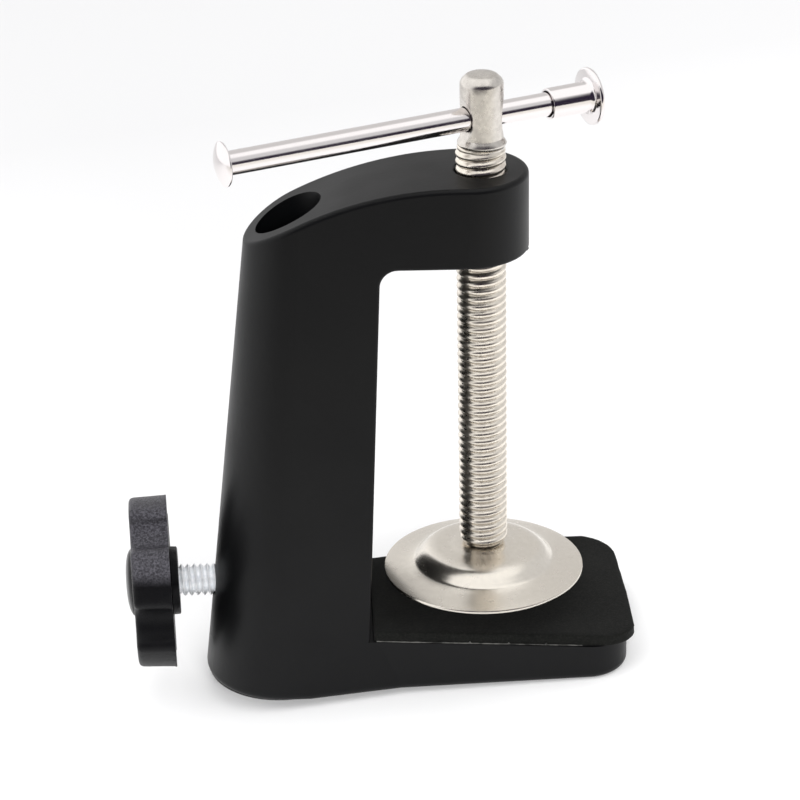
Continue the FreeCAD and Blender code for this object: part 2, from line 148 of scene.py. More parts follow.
def lathe(name, profile, segments, origin, axis=UP, closed=False):
    """Turns a profile of (radius, height) about an axis; end points on the axis are poles."""
    axis, side, other = frame_round(axis)
    points, faces, rings = [], [], []
    for radius, height in profile:
        centre = Vector(origin) + axis * height
        if radius < 1e-6:
            rings.append([len(points)])
            points.append(tuple(centre))
            continue
        ring = []
        for step in range(segments):
            angle = TURN * step / segments
            spot = centre + (side * math.cos(angle) + other * math.sin(angle)) * radius
            ring.append(len(points))
            points.append(tuple(spot))
        rings.append(ring)
    pairs = list(zip(rings, rings[1:]))
    if closed:
        pairs.append((rings[-1], rings[0]))
    for low, high in pairs:
        for step in range(segments):
            following = (step + 1) % segments
            if len(low) == 1 and len(high) == 1:
                continue
            if len(low) == 1:
                faces.append((low[0], high[following], high[step]))
            elif len(high) == 1:
                faces.append((low[step], low[following], high[0]))
            else:
                faces.append((low[step], low[following], high[following], high[step]))
    item = mesh_piece(name, points, faces)
    make_outward(item)
    return item


def offset_loop(loop, amount):
    """A closed anticlockwise loop of flat points moved outwards by an amount in millimetres."""
    moved = []
    for index, (x, y) in enumerate(loop):
        before, after = loop[index - 1], loop[(index + 1) % len(loop)]
        along = Vector((after[0] - before[0], after[1] - before[1])).normalized()
        moved.append((x + along.y * amount, y - along.x * amount))
    return moved


def even_loop(loop, step):
    """A closed loop of flat points spaced again at about step."""
    spots = [Vector(point) for point in loop]
    lengths = [(spots[(index + 1) % len(spots)] - spot).length for index, spot in enumerate(spots)]
    total = sum(lengths)
    count = round(total / step)
    found, side, walked = [], 0, 0.0
    for index in range(count):
        target = total * index / count
        while walked + lengths[side] < target:
            walked += lengths[side]
            side += 1
        share = (target - walked) / lengths[side]
        found.append(tuple(spots[side].lerp(spots[(side + 1) % len(spots)], share)))
    return found


def rounded_loop(corners, radii, steps):
    """Closed anticlockwise loop of a polygon whose corners are rounded."""
    found = []
    for index, corner in enumerate(corners):
        here = Vector(corner)
        back = (Vector(corners[index - 1]) - here).normalized()
        ahead = (Vector(corners[(index + 1) % len(corners)]) - here).normalized()
        half = back.angle(ahead) / 2
        centre = here + (back + ahead).normalized() * radii[index] / math.sin(half)
        start = here + back * radii[index] / math.tan(half) - centre
        finish = here + ahead * radii[index] / math.tan(half) - centre
        first = math.atan2(start.y, start.x)
        sweep = (math.atan2(finish.y, finish.x) - first) % TURN
        for step in range(steps + 1):
            angle = first + sweep * step / steps
            found.append((centre.x + radii[index] * math.cos(angle),
                          centre.y + radii[index] * math.sin(angle)))
    return found


def loft(name, rings):
    """Closed skin through rings of points with equal counts; the end rings are filled by a fan."""
    columns = len(rings[0])
    points = [point for ring in rings for point in ring]
    faces = grid_faces(len(rings), columns)
    for first, ring in ((0, rings[0]), ((len(rings) - 1) * columns, rings[-1])):
        middle = len(points)
        points.append(tuple(sum(point[axis] for point in ring) / columns for axis in range(3)))
        faces += [(first + step, first + (step + 1) % columns, middle) for step in range(columns)]
    item = mesh_piece(name, points, faces)
    make_outward(item)
    return item


def make_outward(item):
    """Turns every face of a closed mesh to look outwards."""
    mesh = bmesh.new()
    mesh.from_mesh(item.data)
    bmesh.ops.recalc_face_normals(mesh, faces=mesh.faces)
    mesh.to_mesh(item.data)
    mesh.free()


def crease_by_angle(item, degrees):
    """Smooth shading with sharp edges where two faces meet at more than this angle."""
    for polygon in item.data.polygons:
        polygon.use_smooth = True
    item.data.set_sharp_from_angle(angle=math.radians(degrees))


def bake_modifiers(item):
    """Replaces a piece's mesh by the result of its modifiers."""
    bpy.context.view_layer.update()
    graph = bpy.context.evaluated_depsgraph_get()
    data = bpy.data.meshes.new_from_object(item.evaluated_get(graph))
    old = item.data
    item.modifiers.clear()
    item.data = data
    bpy.data.meshes.remove(old)


# ---------------------------------------------------------------- material helpers
def mix_colors(tree, factor, first, second):
    """Mix node of two colours or colour sockets, by a factor socket."""
    node = tree.nodes.new("ShaderNodeMix")
    node.data_type = "RGBA"
    for label, value in (("A", first), ("B", second)):
        if isinstance(value, tuple):
            node.inputs[label].default_value = (*value, 1.0)
        else:
            tree.links.new(value, node.inputs[label])
    tree.links.new(factor, node.inputs["Factor"])
    return node.outputs["Result"]


class Recipe:
    """A node material under construction, with object coordinates in millimetres."""

    def __init__(self, name, color, roughness, metallic=0.0, specular=0.5):
        self.material = bpy.data.materials.new(name)
        self.material.use_nodes = True
        self.tree = self.material.node_tree
        self.shader = self.tree.nodes["Principled BSDF"]
        self.shader.inputs["Base Color"].default_value = (*color, 1.0)
        self.shader.inputs["Roughness"].default_value = roughness
        self.shader.inputs["Metallic"].default_value = metallic
        self.shader.inputs["Specular IOR Level"].default_value = specular
        self.coordinates = self.add("ShaderNodeTexCoord")
        scaled = self.add("ShaderNodeMapping")
        scaled.inputs["Scale"].default_value = (1 / MM, 1 / MM, 1 / MM)
        self.link(self.coordinates.outputs["Object"], scaled.inputs["Vector"])
        self.place = scaled.outputs["Vector"]
        self.normal = None

    def add(self, kind):
        """A new node of a kind."""
        return self.tree.nodes.new(kind)

    def link(self, source, target):
        """Joins an output socket to an input socket."""
        self.tree.links.new(source, target)

    def noise(self, per_mm, detail=3.0, roughness=0.55, stretch=None):
        """Noise with about per_mm features in a millimetre."""
        place = self.place
        if stretch:
            mapping = self.add("ShaderNodeMapping")
            mapping.inputs["Scale"].default_value = stretch
            self.link(place, mapping.inputs["Vector"])
            place = mapping.outputs["Vector"]
        node = self.add("ShaderNodeTexNoise")
        node.inputs["Scale"].default_value = per_mm
        node.inputs["Detail"].default_value = detail
        node.inputs["Roughness"].default_value = roughness
        node.inputs["Distortion"].default_value = 0.0
        self.link(place, node.inputs["Vector"])
        return node.outputs["Fac"]

    def cells(self, per_mm):
        """Distance field of random cells, about per_mm in a millimetre."""
        node = self.add("ShaderNodeTexVoronoi")
        node.inputs["Scale"].default_value = per_mm
        self.link(self.place, node.inputs["Vector"])
        return node.outputs["Distance"]

    def remap(self, source, low_in, high_in, low_out, high_out):
        """Maps a value from one range to another, clamped."""
        node = self.add("ShaderNodeMapRange")
        for label, value in (("From Min", low_in), ("From Max", high_in),
                             ("To Min", low_out), ("To Max", high_out)):
            node.inputs[label].default_value = value
        self.link(source, node.inputs["Value"])
        return node.outputs["Result"]

    def combine(self, operation, first, second):
        """Math node on two values or sockets."""
        node = self.add("ShaderNodeMath")
        node.operation = operation
        for socket, value in zip(node.inputs, (first, second)):
            if isinstance(value, (int, float)):
                socket.default_value = value
            else:
                self.link(value, socket)
        return node.outputs[0]

    def tint(self, factor, first, second):
        """Mix of two colours by a factor socket."""
        return mix_colors(self.tree, factor, first, second)

    def bump(self, height, depth_mm, strength=1.0):
        """Adds a bump layer on top of those before it."""
        node = self.add("ShaderNodeBump")
        node.inputs["Strength"].default_value = strength
        node.inputs["Distance"].default_value = depth_mm * MM
        self.link(height, node.inputs["Height"])
        if self.normal:
            self.link(self.normal, node.inputs["Normal"])
        self.normal = node.outputs["Normal"]
        self.link(self.normal, self.shader.inputs["Normal"])

    def split(self, socket):
        """The three parts of a vector socket, as outputs X, Y and Z."""
        node = self.add("ShaderNodeSeparateXYZ")
        self.link(socket, node.inputs[0])
        return node.outputs

    def color(self, socket):
        """Drives the base colour."""
        self.link(socket, self.shader.inputs["Base Color"])

    def rough(self, socket):
        """Drives the roughness."""
        self.link(socket, self.shader.inputs["Roughness"])


def paint(item, material):
    """Gives every face of a piece the material."""
    if item.data.materials:
        for index in range(len(item.data.materials)):
            item.data.materials[index] = material
    else:
        item.data.materials.append(material)


# ---------------------------------------------------------------- materials
COAT_BLACK = (0.0022, 0.0023, 0.0026)
PLASTIC_BLACK = (0.0022, 0.0022, 0.0028)
# heights above the knob's axis where pale dust and painted top light on its upper faces begin and
# are full
DUST_AND_TOP_LIGHT_FROM, DUST_AND_TOP_LIGHT_FULL = 7.2, 9.6
# how far back the table's painted shade begins and is full, and the same for its creamy front
PAINTED_SHADE_FROM, PAINTED_SHADE_FULL = 60.0, 320.0
CREAM_FROM, CREAM_FULL = -62.0, -200.0


def powder_coat():
    """Satin black powder coat: faint orange peel, dust in the coat, patchy gloss."""
    recipe = Recipe("powder_coat", COAT_BLACK, 0.42, specular=0.19)
    peel = recipe.noise(1.1, 2.0, 0.5)
    fine = recipe.noise(5.5, 2.0, 0.6)
    broad = recipe.noise(0.06, 2.0, 0.5)
    recipe.rough(recipe.remap(broad, 0.35, 0.65, 0.36, 0.45))
    specks = recipe.remap(recipe.cells(0.55), 0.035, 0.02, 0.0, 0.12)
    recipe.color(recipe.tint(specks, COAT_BLACK, (0.12, 0.12, 0.13)))
    recipe.bump(peel, 0.03, 0.35)
    recipe.bump(fine, 0.008, 0.5)
    return recipe.material


def foam():
    """Closed-cell foam: very matt, slightly green black, fine pores."""
    recipe = Recipe("foam", (0.0095, 0.0105, 0.009), 0.95, specular=0.14)
    pores = recipe.cells(4.2)
    grain = recipe.noise(9.0, 3.0, 0.6)
    cloud = recipe.noise(0.12, 3.0, 0.6)
    patches = recipe.tint(recipe.remap(cloud, 0.3, 0.7, 0.0, 1.0),
                          (0.0030, 0.0033, 0.0029), (0.0058, 0.0062, 0.0055))
    speckle = recipe.remap(recipe.noise(2.6, 4.0, 0.7), 0.45, 0.68, 0.0, 1.0)
    recipe.color(recipe.tint(speckle, patches, (0.011, 0.011, 0.010)))
    recipe.shader.inputs["Sheen Weight"].default_value = 0.03
    recipe.rough(recipe.remap(grain, 0.3, 0.7, 0.88, 1.0))
    recipe.bump(pores, 0.07, 0.5)
    recipe.bump(grain, 0.025, 0.6)
    return recipe.material


def film_and_painted_highlight():
    """Edge of the clear adhesive film under the pad: patchy pale grey and a little glossy; the pale
    grey is partly a painted highlight along the plate's top edge.
    """
    recipe = Recipe("film_and_painted_highlight", (0.10, 0.10, 0.095), 0.3, specular=0.5)
    patches = recipe.noise(0.35, 3.0, 0.6)
    # the pale patches are partly a painted highlight along the plate's top edge
    recipe.color(recipe.tint(recipe.remap(patches, 0.42, 0.62, 0.0, 1.0),
                             (0.02, 0.02, 0.019), (0.14, 0.14, 0.13)))
    recipe.bump(recipe.noise(5.0), 0.03, 0.5)
    return recipe.material


def satin_nickel(name, color, low, high, tumble, dulled=0.86, pits=0.25):
    """Nickel plate over tumbled steel, clouded and pitted; its roughness runs from low to high."""
    recipe = Recipe(name, color, (low + high) / 2, metallic=1.0)
    cloud = recipe.noise(0.5, 4.0, 0.6)
    grain = recipe.noise(6.0, 3.0, 0.6)
    recipe.rough(recipe.remap(cloud, 0.3, 0.7, low, high))
    shade = recipe.noise(0.9, 3.0, 0.55)
    dull = tuple(value * dulled for value in color)
    recipe.color(recipe.tint(recipe.remap(shade, 0.35, 0.7, 0.0, 1.0), color, dull))
    recipe.bump(grain, 0.006, tumble)
    recipe.bump(recipe.remap(recipe.cells(1.3), 0.10, 0.03, 0.0, 1.0), 0.02, pits)
    return recipe.material


def polished_nickel():
    """Bright plate with hairline scratches along and round the bar."""
    recipe = Recipe("polished_nickel", (0.77, 0.735, 0.73), 0.11, metallic=1.0)
    cloud = recipe.noise(0.35, 3.0, 0.6)
    hair = recipe.noise(3.0, 2.0, 0.5, stretch=(0.25, 4.0, 4.0))
    recipe.rough(recipe.remap(cloud, 0.3, 0.7, 0.10, 0.17))
    recipe.bump(hair, 0.0025, 0.35)
    return recipe.material


def bright_zinc():
    """Bluish zinc plate on a rolled stud."""
    recipe = Recipe("bright_zinc", (0.80, 0.84, 0.88), 0.35, metallic=0.6)
    cloud = recipe.noise(1.4, 3.0, 0.6)
    recipe.rough(recipe.remap(cloud, 0.3, 0.7, 0.32, 0.44))
    recipe.color(recipe.tint(recipe.remap(cloud, 0.4, 0.65, 0.0, 1.0),
                             (0.95, 0.96, 0.975), (0.82, 0.85, 0.88)))
    recipe.bump(recipe.noise(7.0, 2.0, 0.5), 0.004, 0.4)
    return recipe.material


def moulded_plastic():
    """Black moulded plastic: fine sparkling grain, pale dust specks and painted top light on its
    upper faces, a smoother boss.
    """
    recipe = Recipe("moulded_plastic", PLASTIC_BLACK, 0.40, specular=0.15)
    grain = recipe.noise(3.0, 4.0, 0.7)
    fine = recipe.cells(4.0)
    place = recipe.split(recipe.place)
    boss = recipe.remap(place["X"], KNOB_OUTER - 0.02, KNOB_OUTER - 0.3, 0.0, 1.0)
    matt = recipe.combine("SUBTRACT", 1.0, boss)
    facing = recipe.split(recipe.coordinates.outputs["Normal"])
    # upward faces high on the knob are painted paler: dust specks and painted light from above
    upward = recipe.remap(facing["Z"], -0.2, 0.25, 0.0, 1.0)
    high = recipe.remap(place["Z"], STUD_Z + DUST_AND_TOP_LIGHT_FROM, STUD_Z + DUST_AND_TOP_LIGHT_FULL, 0.0, 1.0)
    specks = recipe.remap(recipe.noise(2.4, 4.0, 0.75), 0.42, 0.66, 0.25, 1.0)
    dust_and_top_light = recipe.combine("MULTIPLY", recipe.combine("MULTIPLY", upward, specks),
                          recipe.combine("MULTIPLY", high, matt))
    recipe.color(recipe.tint(dust_and_top_light, PLASTIC_BLACK, (0.095, 0.092, 0.106)))
    rough = recipe.remap(grain, 0.35, 0.65, 0.28, 0.52)
    recipe.rough(recipe.combine("ADD", recipe.combine("MULTIPLY", rough, matt),
                                recipe.combine("MULTIPLY", boss, 0.26)))
    recipe.bump(recipe.combine("MULTIPLY", grain, matt), 0.14, 0.8)
    recipe.bump(recipe.combine("MULTIPLY", fine, matt), 0.03, 0.5)
    return recipe.material


def plain_steel():
    """Washer steel with a stamped grain."""
    recipe = Recipe("plain_steel", (0.55, 0.54, 0.52), 0.35, metallic=1.0)
    recipe.rough(recipe.remap(recipe.noise(1.2), 0.3, 0.7, 0.28, 0.45))
    recipe.bump(recipe.noise(5.0), 0.01, 0.4)
    return recipe.material


def pale_floor():
    """Matt white table, greyer at the back with painted shade for the light falling off, and creamy
    at its front edge.
    """
    recipe = Recipe("pale_floor", (0.93, 0.93, 0.93), 0.85, specular=0.1)
    place = recipe.split(recipe.place)
    # painted shade: the table turns grey towards the back, where the light falls off
    depth = recipe.remap(place["Y"], PAINTED_SHADE_FROM, PAINTED_SHADE_FULL, 0.0, 1.0)
    near = recipe.remap(place["Y"], CREAM_FROM, CREAM_FULL, 0.0, 1.0)
    table = recipe.tint(depth, (0.95, 0.95, 0.95), (0.76, 0.76, 0.763))
    recipe.color(recipe.tint(near, table, (0.70, 0.685, 0.64)))
    recipe.rough(recipe.remap(recipe.noise(0.05), 0.3, 0.7, 0.8, 0.9))
    return recipe.material


# ---------------------------------------------------------------- threads
def threaded_rod(name, stations, segments, radius_at, origin, axis):
    """A rod whose radius depends on height and angle, capped at both ends."""
    axis, side, other = frame_round(axis)
    points = []
    for height in stations:
        centre = Vector(origin) + axis * height
        for step in range(segments):
            angle = TURN * step / segments
            spoke = side * math.cos(angle) + other * math.sin(angle)
            points.append(tuple(centre + spoke * radius_at(height, angle)))
    faces = grid_faces(len(stations), segments)
    faces.append(tuple(range(segments - 1, -1, -1)))
    top = (len(stations) - 1) * segments
    faces.append(tuple(range(top, top + segments)))
    item = mesh_piece(name, points, faces)
    make_outward(item)
    return item


# ---------------------------------------------------------------- clamping screw
# radii of the thread, its lead-in and its run-out, and the heights where it begins and ends
THREAD_CREST, THREAD_ROOT = 4.76, 4.2
LEAD_RADIUS, NECK_RADIUS = 4.1, 4.32
THREAD_FLOOR, THREAD_TOP = 27.0, 110.2
# a power below 1 widens the crests and narrows the roots
CREST_POWER = 0.42
SCREW_SEGMENTS, ROWS_PER_TURN = 72, 14
HEAD_RADIUS, HEAD_SHIFT = 4.08, 0.28
SPIGOT_RADIUS = 3.0
# the round tools that press the head's sides, and the one that drills it for the bar
SWAGE_RADIUS, SWAGE_DEPTH, SWAGE_LENGTH = 9.0, 1.25, 16
HOLE_RADIUS, HOLE_LENGTH = 2.45, 20


def screw_radius(height, angle):
    """Rolled thread that fades into the plain head above and the shoulder below."""
    fade = min(1.0, max(0.0, (THREAD_TOP - height) / (0.8 * SCREW_PITCH)))
    start = min(1.0, max(0.0, (height - THREAD_FLOOR) / (0.7 * SCREW_PITCH)))
    wave = 0.5 + 0.5 * math.cos(TURN * ((height / SCREW_PITCH - angle / TURN) % 1.0))
    body = THREAD_ROOT + (THREAD_CREST - THREAD_ROOT) * wave ** CREST_POWER
    value = NECK_RADIUS + (body - NECK_RADIUS) * fade
    return min(value, LEAD_RADIUS + (value - LEAD_RADIUS) * start)


def make_screw():
    """Thread, head and peened spigot."""
    rows = int((THREAD_TOP - THREAD_FLOOR) / SCREW_PITCH * ROWS_PER_TURN)
    stations = [THREAD_FLOOR + (THREAD_TOP - THREAD_FLOOR) * row / rows for row in range(rows + 1)]
    origin = (SCREW_X, 0, 0)
    rod = threaded_rod("clamp_screw_thread", stations, SCREW_SEGMENTS, screw_radius, origin, UP)
    head = make_head()
    low, shoulder = screw_low[2], THREAD_FLOOR + 0.4
    profile = [(0.0, low), (SPIGOT_RADIUS - 0.4, low), (3.6, low + 0.5), (3.9, low + 0.95),
               (SPIGOT_RADIUS, low + 1.0), (SPIGOT_RADIUS, shoulder), (0.0, shoulder)]
    spigot = lathe("clamp_screw_spigot", profile, 64, origin)
    crease_by_angle(spigot, 30)
    return [rod, head, spigot]


def make_head():
    """Plain round head with a chamfered top, two swages and the bar's cross hole."""
    top = screw_high[2]
    collar = ((0.0, -1.2), (4.2, -1.2), (4.25, -0.3), (4.45, 0.0), (4.62, 0.3), (4.66, 0.6),
              (4.50, 0.95), (4.32, 1.25))
    profile = [(radius, THREAD_TOP + height) for radius, height in collar]
    profile += [(HEAD_RADIUS, THREAD_TOP + 1.6 + 0.9 * step) for step in range(11)]
    crown = ((0.0, 1.85), (0.06, 1.5), (0.30, 1.05), (0.85, 0.5), (1.12, 0.26), (1.45, 0.12))
    profile += [(HEAD_RADIUS - inset, top - drop) for inset, drop in crown]
    profile += [(1.6, top - 0.02), (0.0, top)]
    head = lathe("clamp_screw_head", profile, 96, (SCREW_X + HEAD_SHIFT, 0, 0))
    across = BAR_AXIS.cross(UP).normalized()
    centre = Vector((SCREW_X, 0, BAR_Z))
    cutters = []
    swage = [(0, 0), (SWAGE_RADIUS, 0), (SWAGE_RADIUS, SWAGE_LENGTH), (0, SWAGE_LENGTH)]
    for sign in (-1, 1):
        shift = sign * (HEAD_RADIUS + SWAGE_RADIUS - SWAGE_DEPTH)
        spot = centre + BAR_AXIS * shift - across * SWAGE_LENGTH / 2
        cutters.append(lathe("swage_cutter", swage, 128, spot, across))
    hole = [(0, 0), (HOLE_RADIUS, 0), (HOLE_RADIUS, HOLE_LENGTH), (0, HOLE_LENGTH)]
    cutters.append(lathe("cross_cutter", hole, 64, centre - BAR_AXIS * HOLE_LENGTH / 2, BAR_AXIS))
    for cutter in cutters:
        cut = head.modifiers.new("cut", "BOOLEAN")
        cut.operation = "DIFFERENCE"
        cut.solver = "EXACT"
        cut.object = cutter
    bake_modifiers(head)
    for cutter in cutters:
        bpy.data.objects.remove(cutter)
    bevel = head.modifiers.new("soften", "BEVEL")
    bevel.width = 0.3 * MM
    bevel.segments = 3
    bevel.limit_method = "ANGLE"
    bevel.angle_limit = math.radians(28)
    bake_modifiers(head)
    crease_by_angle(head, 35)
    return head


# ---------------------------------------------------------------- pressure disc
DISC_SAG = math.radians(-0.9)
DISC_THICK, DISC_INSET = 1.0, 0.15
# the dome's upper side, as radius and height above the disc's lowest point
DOME = ((14.3, 2.28), (13.65, 2.58), (12.95, 3.3), (12.1, 4.15), (11.0, 4.86), (9.6, 5.28),
        (8.2, 5.46), (6.8, 5.6), (5.6, 5.82), (4.6, 5.96), (3.9, 5.99))


def make_disc():
    """Pressed sheet: shallow cone, crease, bulging dome with a flared neck, rolled outer edge."""
    low = disc_low[2]
    outer = disc_high[0] - SCREW_X - DISC_INSET
    bell = smooth_profile(DOME, 5)
    upper = [(outer - 0.05, 0.92), (outer - 0.5, 1.05), (17.5, 1.45), (15.4, 1.93)] + bell
    upper = [(radius, low + height) for radius, height in upper]
    lip = arc_points((3.75, low + 5.5), 0.42, 90, 270, 8)
    under = [(radius, low + height - DISC_THICK) for radius, height in reversed(bell)]
    under = [(radius, height) for radius, height in under if radius > 4.2]
    under += [(15.4, low + 0.93), (17.5, low + 0.45), (outer - 0.5, low + 0.05)]
    rim = arc_points((outer - 0.48, low + 0.5), 0.48, -80, 80, 8)
    profile = upper + lip + under + rim
    disc = lathe("pressure_disc_sheet", profile, 160, (SCREW_X, 0, 0), closed=True)
    crease_by_angle(disc, 40)
    neck = Vector((SCREW_X, 0, disc_high[2])) * MM
    sag = Matrix.Translation(neck) @ Matrix.Rotation(DISC_SAG, 4, "X") @ Matrix.Translation(-neck)
    disc.data.transform(sag)
    return disc


# ---------------------------------------------------------------- T-bar
def make_bar():
    """Polished bar with its formed rivet head."""
    bar, left, right = 2.25, -51.0, 22.4
    head, rim, dome = 4.15, 0.45, 1.2
    profile = [(0.0, left - rim - dome)]
    curve = (head * head + dome * dome) / (2 * dome)
    spread = math.degrees(math.asin(head / curve))
    cap = arc_points((0.0, left - rim - dome + curve), curve, -90, -90 + spread, 14)
    profile += cap[1:]
    profile += [(head + 0.02, left - rim + 0.2), (head - 0.08, left - 0.1), (head - 0.35, left)]
    profile += [(bar + 0.35, left + 0.02), (bar + 0.08, left + 0.14), (bar, left + 0.5)]
    profile += [(bar, right - 0.3), (bar - 0.3, right - 0.05), (0.0, right - 0.05)]
    item = lathe("tommy_bar_rod", profile, 96, (SCREW_X, 0, BAR_Z), BAR_AXIS)
    crease_by_angle(item, 50)
    return item


def make_bar_cap():
    """Sleeve with a rolled mouth and a domed flange."""
    start, stop, end, sleeve, bore = 14.0, 22.45, 22.5, 2.95, 2.27
    flange, rim, dome = 5.5, 0.7, 1.55
    profile = [(0.0, stop), (bore, stop), (bore, start + 0.9), (bore + 0.2, start + 0.3),
               (bore + 0.26, start)]
    profile += [(sleeve - 0.14, start), (sleeve - 0.03, start + 0.06), (sleeve, start + 0.2)]
    profile += [(sleeve, end - 0.9), (sleeve + 0.1, end - 0.55), (sleeve + 0.42, end - 0.12),
                (sleeve + 0.8, end)]
    profile += [(flange - 0.35, end), (flange - 0.08, end + 0.12), (flange, end + 0.35)]
    profile += [(flange - 0.03, end + rim - 0.1)]
    curve = (flange * flange + dome * dome) / (2 * dome)
    spread = math.degrees(math.asin((flange - 0.15) / curve))
    crown = end + rim + dome
    profile += arc_points((0.0, crown - curve), curve, 90 - spread, 90, 14)
    item = lathe("tommy_bar_cap_sleeve", profile, 96, (SCREW_X, 0, BAR_Z), BAR_AXIS)
    crease_by_angle(item, 50)
    return item


# ---------------------------------------------------------------- desk pad
PAD_CORNERS = ((13.62, -15.1), (65.25, -21.0), (63.75, 21.9), (13.62, 15.1))
PAD_RADII = (0.7, 6.4, 8.4, 0.7)
PAD_LIFT = 0.35
# the edge as inset and height, then how far each ring of the top goes towards the middle
PAD_EDGE = ((0.12, 0.0), (0.0, 0.12), (0.05, 0.7), (0.08, 1.2), (0.03, 1.6), (0.06, 1.8),
            (0.15, 1.97), (0.30, 2.08), (0.52, 2.13))
PAD_SHARES = (0.03, 0.06, 0.10, 0.15, 0.21, 0.28, 0.36, 0.45, 0.54, 0.63, 0.72, 0.81, 0.9, 0.96)
# the film's ends along X, the depth it goes under the pad, and its torn tags
FILM_FROM, FILM_TO, FILM_STEPS = 14.2, 54.0, 320
FILM_TUCK = 0.4
FILM_TAGS, TAG_WIDTH, TAG_HEIGHT = (32.3, 39.8, 47.0), 0.13, 0.34


def pad_outline():
    """The pad's cut outline, with the small waves of a hand-cut edge."""
    loop = even_loop(rounded_loop(PAD_CORNERS, PAD_RADII, 10), 0.45)
    ragged = []
    for x, y in loop:
        wave = 0.09 * noise.noise(Vector((x * 0.35, y * 0.35, 1.7)))
        wave += 0.035 * noise.noise(Vector((x * 1.6, y * 1.6, 5.2)))
        ragged.append(wave - 0.08)
    normals = offset_loop(loop, 1.0)
    return [(min(x + (nx - x) * wave, pad_high[0] - 0.01), min(y + (ny - y) * wave, body_high[1]))
            for (x, y), (nx, ny), wave in zip(loop, normals, ragged)]


def curl(x, y):
    """How far the pad's free back corner has lifted, from 0 to 1."""
    return min(1.0, max(0.0, (y - 12.0) / 8.0)) ** 2 * min(1.0, max(0.0, (x - 24.0) / 20.0))


def make_pad():
    """Foam sheet: soft upper edge, slightly waisted sides, top that is not quite flat."""
    low, high = pad_low[2], pad_high[2]
    outline = pad_outline()
    middle = Vector((sum(x for x, _ in outline), sum(y for _, y in outline))) / len(outline)
    rings = []
    for inset, rise in PAD_EDGE:
        rings.append([(x, y, low + rise) for x, y in offset_loop(outline, -inset)])
    inner = offset_loop(outline, -PAD_EDGE[-1][0])
    for share in PAD_SHARES:
        ring = []
        for x, y in inner:
            spot = Vector((x, y)).lerp(middle, share)
            swell = 0.05 * noise.noise(Vector((spot.x * 0.11, spot.y * 0.11, 3.0)))
            ring.append((spot.x, spot.y, min(high, low + 2.14 + swell)))
        rings.append(ring)
    rings = [[(x, y, z + PAD_LIFT * curl(x, y)) for x, y, z in ring] for ring in rings]
    item = loft("desk_pad_foam", rings)
    crease_by_angle(item, 60)
    return item


def make_film():
    """Sliver of adhesive film that shows under the pad's front edge, with three torn tags; its pale
    line is partly a painted highlight along the plate's top edge.
    """
    base = pad_low[2]
    (x0, y0), (x1, y1) = PAD_CORNERS[:2]
    slope = (y1 - y0) / (x1 - x0)
    rings = []
    for step in range(FILM_STEPS + 1):
        x = FILM_FROM + (FILM_TO - FILM_FROM) * step / FILM_STEPS
        y = y0 + slope * (x - x0)
        ends = min(1.0, 0.25 + 6.0 * min(step, FILM_STEPS - step) / FILM_STEPS)
        out = (0.05 + 0.06 * noise.noise(Vector((x * 0.8, 0.4, 2.0)))) * ends
        tall = 0.15 + 0.06 * noise.noise(Vector((x * 0.6, 7.0, 0.3)))
        tall += sum(TAG_HEIGHT * math.exp(-((x - tag) / TAG_WIDTH) ** 2) for tag in FILM_TAGS)
        rings.append([(x, y + FILM_TUCK, base), (x, y - out, base),
                      (x, y - out - 0.02, base + tall * 0.5), (x, y - out * 0.7, base + tall),
                      (x, y + FILM_TUCK, base + tall)])
    item = loft("desk_pad_film", rings)
    crease_by_angle(item, 40)
    return item


# ---------------------------------------------------------------- star knob and stud
KNOB_LOBES, KNOB_RADIUS, LOBE_FILLET = 5, 17.1, 2.0
VALLEY_RADIUS, VALLEY_CENTRE = 3.7, 16.4
KNOB_PHASE = math.radians(77.0)
# where the knob's two faces are along X, and how far it leans and yaws on the stud
KNOB_OUTER, KNOB_INNER = -33.25, -25.75
KNOB_WOBBLE, KNOB_YAW = math.radians(-0.7), math.radians(2.6)
# the boss: height of its dome, radius, and the power that shapes the dome
BOSS_RISE, BOSS_RADIUS, BOSS_POWER = 1.48, 6.65, 2.6
BOSS_STEPS = (0.6, 1.4, 2.4, 3.4, 4.4, 5.3, 6.0, 6.4, 6.6)
# inset from the star's outline and depth behind the outer face
FLANK = ((1.2, 0.05), (0.85, 0.16), (0.60, 0.36), (0.42, 0.66), (0.34, 1.1),
         (0.29, 2.2), (0.25, 3.5), (0.20, 4.8), (0.15, 6.0), (0.11, 6.9))
# depth behind the outer face and share of the flash's full width
FLASH = ((7.2, 0.7), (7.42, 1.0), (7.5, 0.8))
# radius, height on the inner face and raggedness
HUB = ((6.75, 0.1, 0.05), (6.68, 0.9, 0.1), (6.6, 1.35, 0.25), (6.2, 1.5, 0.3),
       (5.0, 1.45, 0.1), (3.5, 1.45, 0.0), (3.22, 1.1, 0.0), (3.22, -5.0, 0.0))


